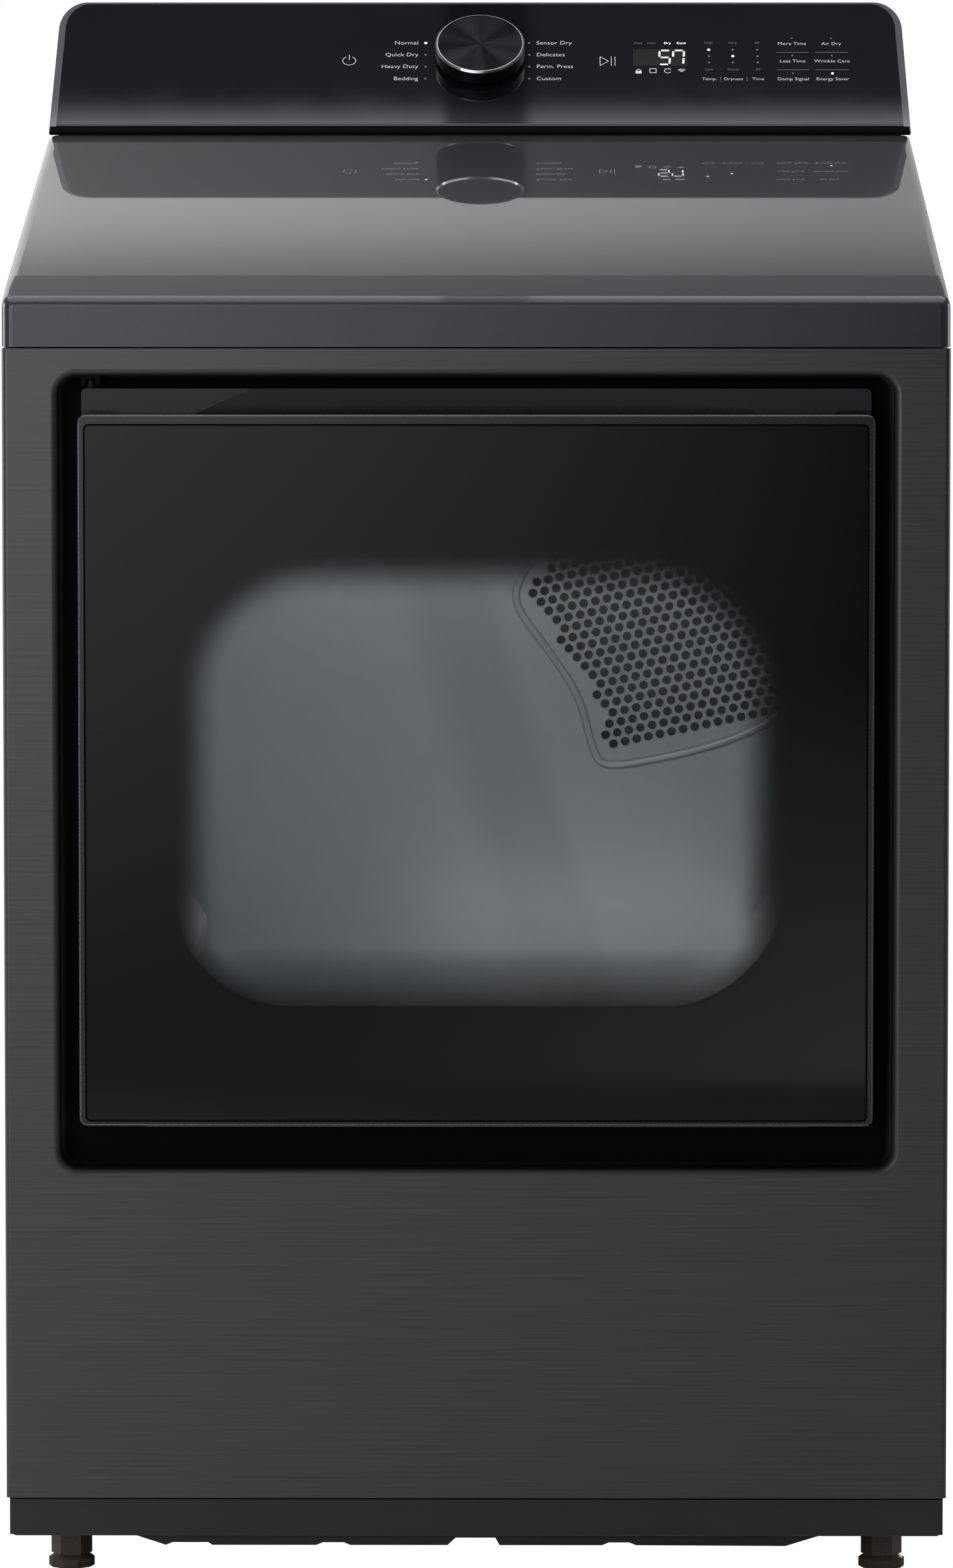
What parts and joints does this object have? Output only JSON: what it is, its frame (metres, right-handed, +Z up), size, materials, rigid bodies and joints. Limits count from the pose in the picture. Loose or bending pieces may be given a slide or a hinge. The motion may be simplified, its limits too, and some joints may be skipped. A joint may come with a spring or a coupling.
{
  "type": "clothes dryer",
  "caption": "Free-standing front-loading tumble clothes dryer with a dual-opening glass door, sloped top cover and reclined rear control console.",
  "frame": {"origin": "on the floor under the middle of the machine's bounding box", "axes": "+Z up, the door faces -Y, +X to the right of a person facing the door"},
  "size_m": [0.686, 0.733, 1.151],
  "materials": {
    "dark_paint": "satin baked enamel, dark grey",
    "galvanised_steel": "zinc-coated sheet, faint spangle",
    "black_steel": "dark grey steel with fine level brushing",
    "galvanised_dark": "dark coated base sheet",
    "cover_enamel": "glossy metallic purple-grey enamel",
    "control_glass": "deep black polished panel",
    "circuit_board": "green lacquered board",
    "drum_enamel": "semi-gloss grey-blue enamel",
    "heater_wire": "heat-tinted nichrome",
    "black_plastic": "fine-textured black moulding",
    "motor_paint": "black lacquered laminations",
    "belt_rubber": "ribbed rubber",
    "seal_felt": "wool felt",
    "bright_steel": "zinc-plated, bright",
    "black_zinc": "black zinc plate",
    "door_glass": "dark tempered glass with a dotted clear window",
    "frame_plastic": "satin blue-black moulding with a bright edge",
    "liner_plastic": "satin grey moulding",
    "clear_bowl": "clear tempered bowl",
    "handle_plastic": "semi-gloss purple-black moulding",
    "seal_rubber": "soft black rubber",
    "knob_chrome": "bright polished rim",
    "knob_metal": "dark spun metal face",
    "drum_steel": "stainless sheet, fine grain",
    "baffle_plastic": "grey moulding",
    "roller_rubber": "moulded rubber tread",
    "wheel_plastic": "natural white nylon",
    "filter_plastic": "dark grey moulding with fine mesh",
    "foot_plastic": "brown-black moulded foot"
  },
  "bodies": {
    "cabinet": {"left_side_panel": "dark_paint", "right_side_panel": "dark_paint", "rear_panel": "galvanised_steel", "front_panel": "black_steel", "base_pan": "galvanised_dark", "toe_kick": "dark_paint", "top_cover": "cover_enamel", "console_housing": "cover_enamel", "console_glass": "control_glass", "console_rear_cover": "dark_paint", "control_board": "circuit_board", "front_bulkhead": "drum_enamel", "rear_bulkhead": "drum_enamel", "heater_duct": "galvanised_steel", "heater_element": "heater_wire", "lint_duct": "black_plastic", "blower_housing": "black_plastic", "exhaust_duct": "galvanised_steel", "exhaust_collar": "galvanised_steel", "motor_body": "motor_paint", "drive_belt": "belt_rubber", "drum_seals": "seal_felt", "roller_axles": "bright_steel", "idler_spring": "bright_steel", "door_switch": "black_plastic", "door_catch": "black_plastic", "hinge_brackets": "black_zinc", "tilt_pin": "bright_steel", "terminal_block": "black_plastic", "terminal_cover": "galvanised_steel", "moisture_bars": "bright_steel", "cabinet_screws": "bright_steel"},
    "hinge_link": {"corner_hinge": "black_zinc"},
    "door": {"door_glass": "door_glass", "door_frame": "frame_plastic", "door_liner": "liner_plastic", "door_window": "clear_bowl", "door_handle": "handle_plastic", "door_gasket": "seal_rubber", "door_strike": "black_zinc", "door_pivot_pins": "black_zinc"},
    "knob": {"knob_body": "black_plastic", "knob_rim": "knob_chrome", "knob_face": "knob_metal"},
    "drum": {"drum_shell": "drum_steel", "drum_baffles": "baffle_plastic"},
    "front_left_roller": {"front_left_roller": "roller_rubber"},
    "front_right_roller": {"front_right_roller": "roller_rubber"},
    "rear_left_roller": {"rear_left_roller": "roller_rubber"},
    "rear_right_roller": {"rear_right_roller": "roller_rubber"},
    "motor_rotor": {"motor_shaft": "bright_steel", "blower_wheel": "wheel_plastic"},
    "idler_arm": {"idler_arm": "black_zinc"},
    "idler_pulley": {"idler_pulley": "wheel_plastic"},
    "lint_filter": {"lint_filter": "filter_plastic"},
    "switch_plunger": {"door_switch_plunger": "wheel_plastic"},
    "front_left_foot": {"front_left_foot": "foot_plastic"},
    "front_right_foot": {"front_right_foot": "foot_plastic"},
    "rear_left_foot": {"rear_left_foot": "foot_plastic"},
    "rear_right_foot": {"rear_right_foot": "foot_plastic"}
  },
  "joints": [
    {"name": "door_tilt", "type": "hinge", "parent": "cabinet", "child": "hinge_link", "pos_m": [-0.253, -0.3505, 0.342], "axis": [1, 0, 0], "range_deg": [0, 57]},
    {"name": "door_swing", "type": "hinge", "parent": "hinge_link", "child": "door", "pos_m": [-0.279, -0.3505, 0.352], "axis": [0, 0, -1], "range_deg": [0, 98]},
    {"name": "knob_turn", "type": "hinge", "parent": "cabinet", "child": "knob", "pos_m": [0, 0.25212, 1.1061], "axis": [0, -0.6534, 0.757], "continuous": true},
    {"name": "drum_spin", "type": "hinge", "parent": "cabinet", "child": "drum", "pos_m": [0, -0.0065, 0.56], "axis": [0, 1, 0], "continuous": true},
    {"name": "front_left_roller_spin", "type": "hinge", "parent": "cabinet", "child": "front_left_roller", "pos_m": [-0.18457, -0.2575, 0.26462], "axis": [0, 1, 0], "continuous": true},
    {"name": "front_right_roller_spin", "type": "hinge", "parent": "cabinet", "child": "front_right_roller", "pos_m": [0.18457, -0.2575, 0.26462], "axis": [0, 1, 0], "continuous": true},
    {"name": "rear_left_roller_spin", "type": "hinge", "parent": "cabinet", "child": "rear_left_roller", "pos_m": [-0.18457, 0.2445, 0.26462], "axis": [0, 1, 0], "continuous": true},
    {"name": "rear_right_roller_spin", "type": "hinge", "parent": "cabinet", "child": "rear_right_roller", "pos_m": [0.18457, 0.2445, 0.26462], "axis": [0, 1, 0], "continuous": true},
    {"name": "motor_spin", "type": "hinge", "parent": "cabinet", "child": "motor_rotor", "pos_m": [0.215, -0.1125, 0.13], "axis": [0, 1, 0], "continuous": true},
    {"name": "idler_swing", "type": "hinge", "parent": "cabinet", "child": "idler_arm", "pos_m": [0.078, -0.0245, 0.118], "axis": [0, -1, 0], "range_deg": [0, 8], "stiffness_Nm_per_rad": 4, "springref_deg": -17.19},
    {"name": "idler_spin", "type": "hinge", "parent": "idler_arm", "child": "idler_pulley", "pos_m": [0.14, -0.0325, 0.125], "axis": [0, 1, 0], "continuous": true},
    {"name": "filter_lift", "type": "slide", "parent": "cabinet", "child": "lint_filter", "axis": [0, 0, 1], "range_m": [0, 0.16]},
    {"name": "switch_press", "type": "slide", "parent": "cabinet", "child": "switch_plunger", "axis": [0, 1, 0], "range_m": [0, 0.003], "stiffness_N_per_m": 150, "springref_m": -0.004},
    {"name": "front_left_foot_turn", "type": "hinge", "parent": "cabinet", "child": "front_left_foot", "pos_m": [-0.2977, -0.3225, 0.02], "axis": [0, 0, 1], "continuous": true},
    {"name": "front_right_foot_turn", "type": "hinge", "parent": "cabinet", "child": "front_right_foot", "pos_m": [0.2977, -0.3225, 0.02], "axis": [0, 0, 1], "continuous": true},
    {"name": "rear_left_foot_turn", "type": "hinge", "parent": "cabinet", "child": "rear_left_foot", "pos_m": [-0.2977, 0.2975, 0.02], "axis": [0, 0, 1], "continuous": true},
    {"name": "rear_right_foot_turn", "type": "hinge", "parent": "cabinet", "child": "rear_right_foot", "pos_m": [0.2977, 0.2975, 0.02], "axis": [0, 0, 1], "continuous": true}
  ],
  "couplings": [
    {"joint": "front_left_roller_spin", "follows": "drum_spin", "ratio": -9.875},
    {"joint": "front_right_roller_spin", "follows": "drum_spin", "ratio": -9.875},
    {"joint": "rear_left_roller_spin", "follows": "drum_spin", "ratio": -9.875},
    {"joint": "rear_right_roller_spin", "follows": "drum_spin", "ratio": -9.875},
    {"joint": "motor_spin", "follows": "drum_spin", "ratio": 23.518},
    {"joint": "idler_spin", "follows": "drum_spin", "ratio": 11.546}
  ]
}
